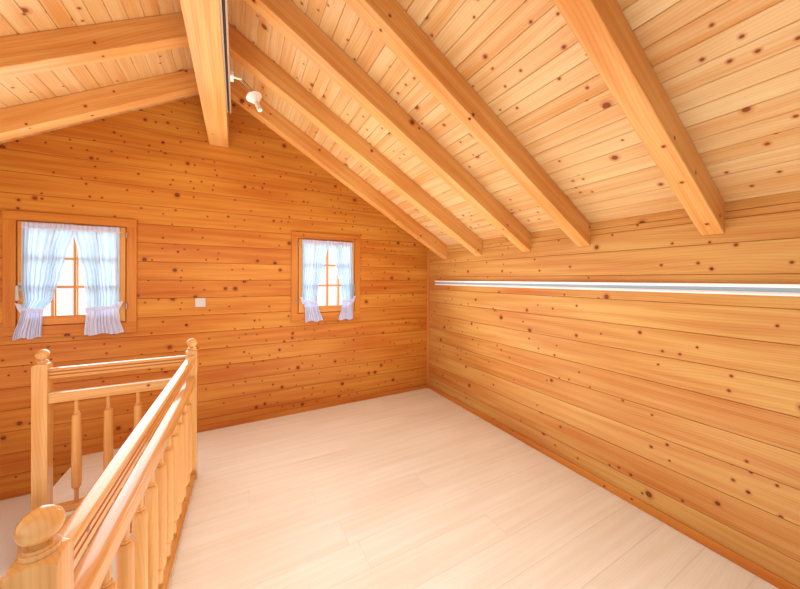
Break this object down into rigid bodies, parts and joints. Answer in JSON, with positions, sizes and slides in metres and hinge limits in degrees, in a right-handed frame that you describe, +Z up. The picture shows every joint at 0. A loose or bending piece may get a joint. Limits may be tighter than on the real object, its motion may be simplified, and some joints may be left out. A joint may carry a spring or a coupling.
{
  "type": "attic gable end section of a timber chalet",
  "caption": "Attic end of a timber chalet: plank gable with two windows, side walls, open rafter roof, floor with a stairwell and turned stair rail.",
  "frame": {"origin": "middle of the footprint at the underside of the walls and joists", "axes": "+X across the house to the right seen from the open end, +Y from the open end to the gable, +Z up"},
  "size_m": [6.314, 4.36, 3.7487],
  "materials": {
    "wall_pine": "waxed pine planks",
    "beam_pine": "planed and waxed pine",
    "ceiling_pine": "planed pine boards",
    "rail_pine": "turned and clear varnished pine",
    "casing_pine": "waxed pine",
    "floor_finish": "pale laminate boards",
    "rough_timber": "sawn softwood",
    "outer_board": "weathered softwood",
    "roof_tile": "matt clay tile",
    "pane": "clear",
    "curtain": "thin white cotton",
    "light_rail": "satin",
    "lamp_metal": "polished",
    "switch_plastic": "white"
  },
  "bodies": {
    "root": {"bottom_rails": "rail_pine", "corner_beads": "beam_pine", "corner_newel": "rail_pine", "far_balusters": "rail_pine", "far_handrail": "rail_pine", "floor_boards": "floor_finish", "floor_deck": "rough_timber", "floor_joists": "rough_timber", "gable_wall": "wall_pine", "landing_newel": "rail_pine", "left_barge_board": "outer_board", "left_roof_boards": "ceiling_pine", "left_roof_covering": "roof_tile", "left_side_wall": "wall_pine", "left_window_casing": "casing_pine", "left_window_curtains": "curtain", "left_window_frame": "casing_pine", "left_window_sash": "casing_pine", "light_switch": "switch_plastic", "middle_rails": "rail_pine", "near_balusters": "rail_pine", "near_handrail": "rail_pine", "near_newel": "rail_pine", "rafter_pair_1": "beam_pine", "rafter_pair_2": "beam_pine", "rafter_pair_3": "beam_pine", "rafter_pair_4": "beam_pine", "rafter_pair_5": "beam_pine", "rafter_pair_6": "beam_pine", "ridge_beam": "beam_pine", "ridge_cap": "roof_tile", "ridge_track": "lamp_metal", "right_barge_board": "outer_board", "right_roof_boards": "ceiling_pine", "right_roof_covering": "roof_tile", "right_side_wall": "wall_pine", "right_window_casing": "casing_pine", "right_window_curtains": "curtain", "right_window_frame": "casing_pine", "right_window_sash": "casing_pine", "side_balusters": "rail_pine", "side_handrail": "rail_pine", "skirtings": "beam_pine", "spotlight": "lamp_metal", "stairwell_trimmers": "rough_timber", "verge_rafters": "beam_pine", "wall_light_rail": "light_rail", "window_handles": "lamp_metal", "window_hinges": "lamp_metal", "window_panes": "pane"}
  },
  "joints": []
}
